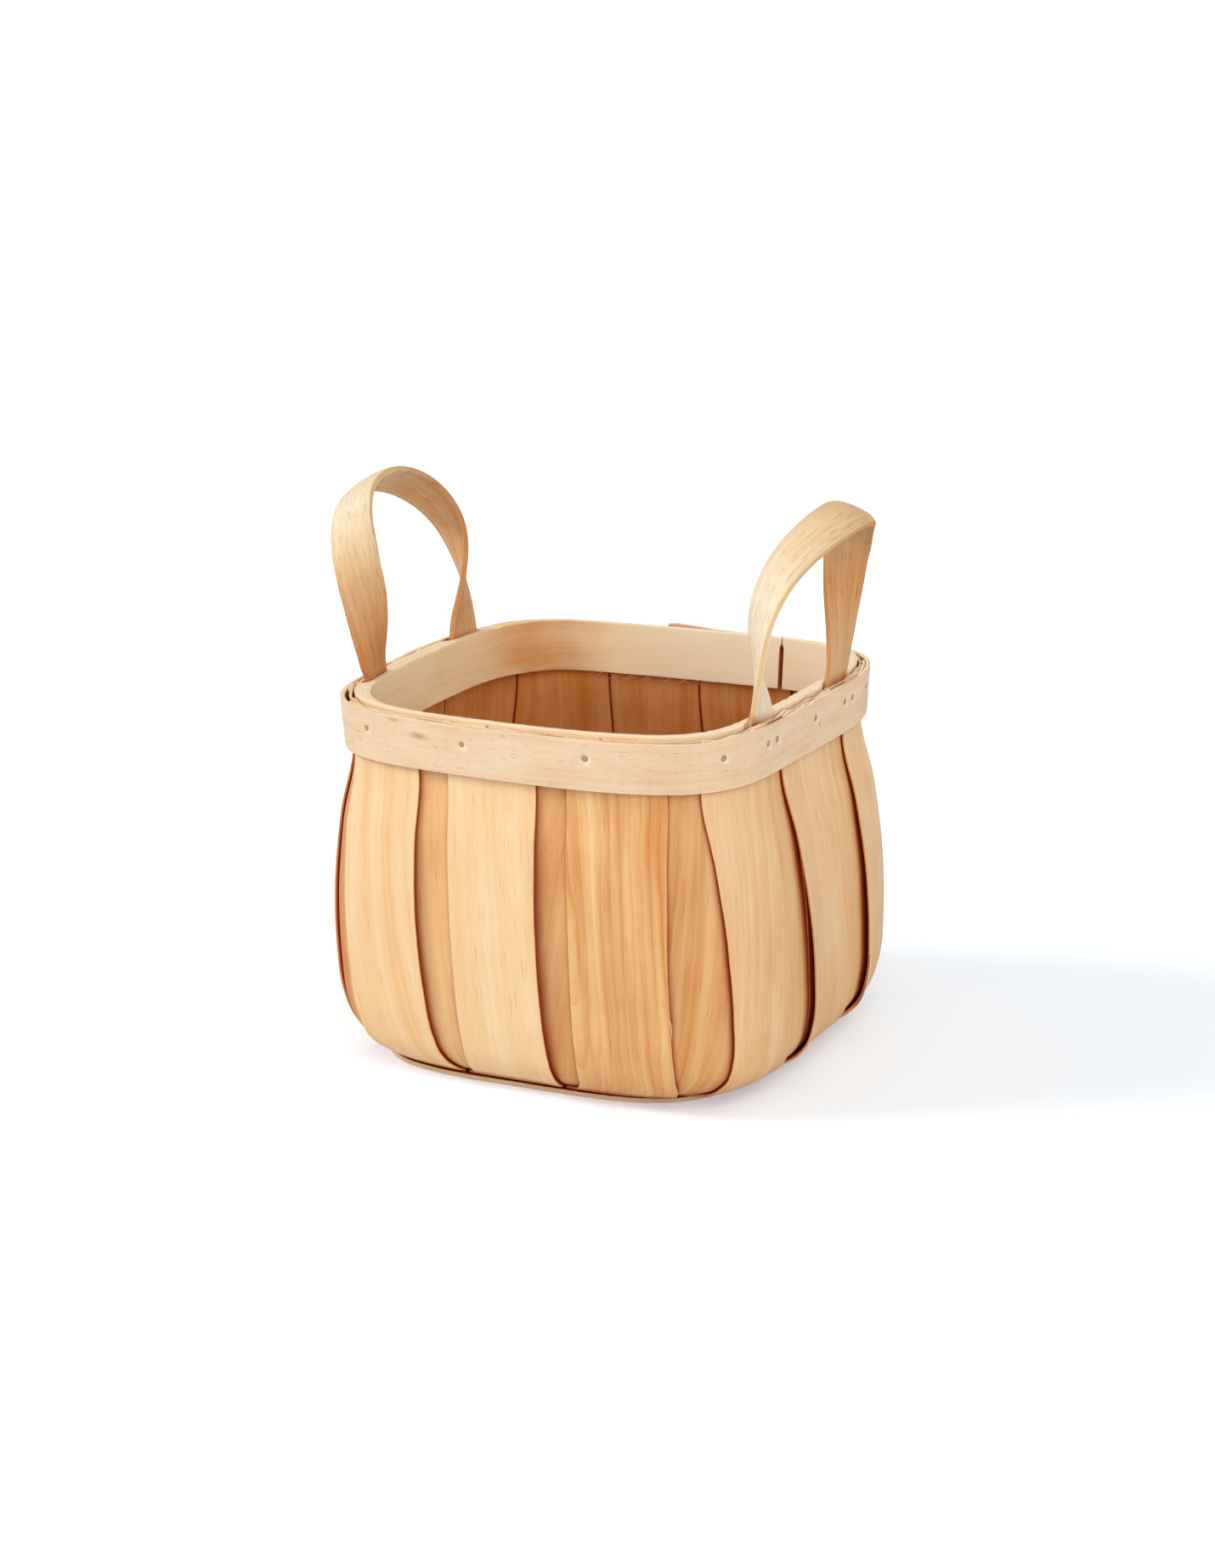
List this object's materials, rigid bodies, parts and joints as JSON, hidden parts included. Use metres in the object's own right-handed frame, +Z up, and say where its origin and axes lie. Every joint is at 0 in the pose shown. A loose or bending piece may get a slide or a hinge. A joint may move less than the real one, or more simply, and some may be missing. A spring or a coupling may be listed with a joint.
{
  "type": "berry basket",
  "caption": "Square berry basket of thin split wood: upright splints between an outer and an inner hoop, on a flat base board, with two fixed bent-wood handles.",
  "frame": {"origin": "middle of the base board's resting face, on the surface that the basket stands on", "axes": "+Z up, front towards -Y, handles on the -X and +X sides"},
  "size_m": [0.2467, 0.2132, 0.2532],
  "materials": {
    "hoop_wood": "bare pale veneer, planed, fine grain dashes",
    "splint_wood": "bare honey-coloured split veneer, upright grain",
    "handle_wood": "bare bent veneer strap, long open grain",
    "board_wood": "bare thin board, darker and speckled",
    "tack_steel": "dull grey tack heads"
  },
  "bodies": {
    "root": {"outer_hoop": "hoop_wood", "inner_hoop": "hoop_wood", "outer_splint_01": "splint_wood", "outer_splint_02": "splint_wood", "outer_splint_03": "splint_wood", "outer_splint_04": "splint_wood", "outer_splint_05": "splint_wood", "outer_splint_06": "splint_wood", "outer_splint_07": "splint_wood", "outer_splint_08": "splint_wood", "outer_splint_09": "splint_wood", "outer_splint_10": "splint_wood", "outer_splint_11": "splint_wood", "outer_splint_12": "splint_wood", "inner_splint_01": "splint_wood", "inner_splint_02": "splint_wood", "inner_splint_03": "splint_wood", "inner_splint_04": "splint_wood", "inner_splint_05": "splint_wood", "inner_splint_06": "splint_wood", "inner_splint_07": "splint_wood", "inner_splint_08": "splint_wood", "inner_splint_09": "splint_wood", "inner_splint_10": "splint_wood", "inner_splint_11": "splint_wood", "inner_splint_12": "splint_wood", "inner_splint_13": "splint_wood", "inner_splint_14": "splint_wood", "handle_left": "handle_wood", "handle_right": "handle_wood", "base_board": "board_wood", "inner_board": "board_wood", "rim_tack_01": "tack_steel", "rim_tack_02": "tack_steel", "rim_tack_03": "tack_steel", "rim_tack_04": "tack_steel", "rim_tack_05": "tack_steel", "rim_tack_06": "tack_steel", "rim_tack_07": "tack_steel", "rim_tack_08": "tack_steel", "rim_tack_09": "tack_steel", "rim_tack_10": "tack_steel", "rim_tack_11": "tack_steel", "rim_tack_12": "tack_steel", "rim_tack_13": "tack_steel", "rim_tack_14": "tack_steel", "rim_tack_15": "tack_steel", "rim_tack_16": "tack_steel", "rim_tack_17": "tack_steel", "rim_tack_18": "tack_steel", "base_tack_01": "tack_steel", "base_tack_02": "tack_steel", "base_tack_03": "tack_steel", "base_tack_04": "tack_steel", "base_tack_05": "tack_steel", "base_tack_06": "tack_steel", "base_tack_07": "tack_steel", "base_tack_08": "tack_steel"}
  },
  "joints": []
}
